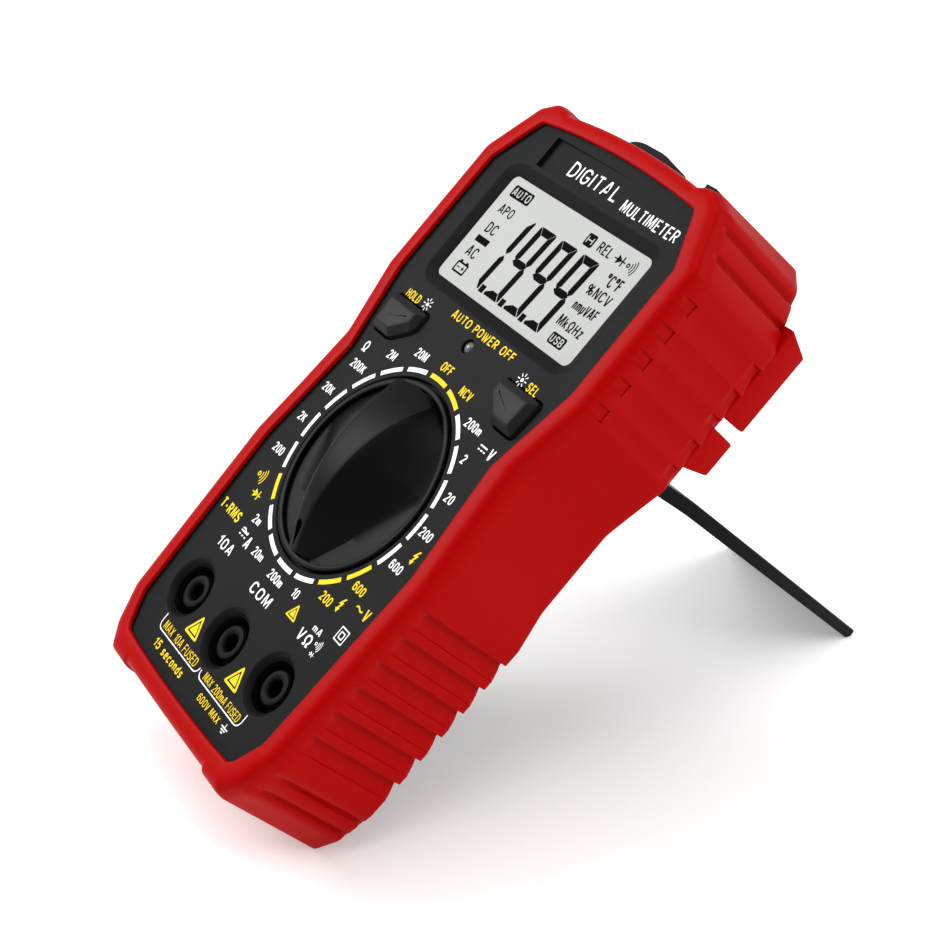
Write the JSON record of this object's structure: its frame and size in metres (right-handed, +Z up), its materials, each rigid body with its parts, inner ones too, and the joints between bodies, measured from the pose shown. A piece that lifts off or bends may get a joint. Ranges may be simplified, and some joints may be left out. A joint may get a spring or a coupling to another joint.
{
  "type": "handheld digital multimeter",
  "caption": "Handheld digital multimeter in a ribbed rubber holster, leaning on its open rear kickstand, with rotary range switch, display, push buttons and input jacks.",
  "frame": {"origin": "bottom centre of the whole object's bounding box, on the table plane that the heel and the kickstand's foot rest on", "axes": "+Z up; +X to the meter's right as its face is read; -Y is the way the leaning face looks, so the kickstand's foot is at +Y and the heel at -Y"},
  "size_m": [0.0764, 0.1492, 0.1145],
  "materials": {
    "red_rubber": "satin, moulded",
    "charcoal_plastic": "fine matt",
    "black_plastic": "satin",
    "key_plastic": "satin",
    "white_plastic": "satin",
    "clear_plastic": "clear, polished",
    "display_glass": "polished",
    "steel": "zinc plated",
    "brass": "bright",
    "copper": "bright copper",
    "board_green": "solder mask",
    "ceramic": "plain",
    "fuse_glass": "clear",
    "conductive_rubber": "matt",
    "cell_jacket": "printed jacket"
  },
  "bodies": {
    "meter": {"holster": "red_rubber", "front_case": "charcoal_plastic", "rear_case": "black_plastic", "battery_cover": "black_plastic", "kickstand_pin_left": "steel", "kickstand_pin_right": "steel", "hold_switch": "black_plastic", "select_switch": "black_plastic", "display_window": "clear_plastic", "display_glass": "display_glass", "backlight_panel": "white_plastic", "display_frame": "white_plastic", "contact_strip": "conductive_rubber", "indicator_led": "clear_plastic", "main_board": "board_green", "jack_10a": "brass", "jack_common": "brass", "jack_volt": "brass", "fuse_10a": "ceramic", "fuse_200ma": "fuse_glass", "fuse_10a_clip_lower": "brass", "fuse_10a_clip_upper": "brass", "fuse_200ma_clip_lower": "brass", "fuse_200ma_clip_upper": "brass", "current_shunt": "copper", "buzzer": "black_plastic", "meter_chip": "black_plastic", "sensor_plate": "copper", "battery_1": "cell_jacket", "battery_2": "cell_jacket", "battery_contact_1": "steel", "battery_contact_2": "steel", "battery_bridge": "steel", "battery_cover_screw": "steel", "case_screw_1": "steel", "board_screw_1": "steel", "case_screw_2": "steel", "board_screw_2": "steel", "case_screw_3": "steel", "board_screw_3": "steel", "case_screw_4": "steel", "board_screw_4": "steel"},
    "dial": {"dial_knob": "black_plastic", "switch_rotor": "white_plastic", "switch_wiper_1": "brass", "switch_wiper_2": "brass", "switch_wiper_3": "brass", "detent_ball_left": "steel", "detent_ball_right": "steel", "detent_spring_left": "steel", "detent_spring_right": "steel"},
    "hold_key": {"hold_button": "key_plastic", "hold_switch_stem": "white_plastic"},
    "select_key": {"select_button": "key_plastic", "select_switch_stem": "white_plastic"},
    "stand": {"kickstand": "black_plastic"}
  },
  "joints": [
    {"name": "knob_turn", "type": "hinge", "parent": "meter", "child": "dial", "pos_m": [0, -0.02996, 0.06124], "axis": [0, -0.6595, 0.7517], "continuous": true},
    {"name": "hold_press", "type": "slide", "parent": "meter", "child": "hold_key", "axis": [0, 0.6595, -0.7517], "range_m": [0, 0.0007], "stiffness_N_per_m": 900, "springref_m": -0.0005},
    {"name": "select_press", "type": "slide", "parent": "meter", "child": "select_key", "axis": [0, 0.6595, -0.7517], "range_m": [0, 0.0007], "stiffness_N_per_m": 900, "springref_m": -0.0005},
    {"name": "stand_fold", "type": "hinge", "parent": "meter", "child": "stand", "pos_m": [0, 0.01351, 0.06173], "axis": [-1, 0, 0], "range_deg": [0, 93]}
  ]
}
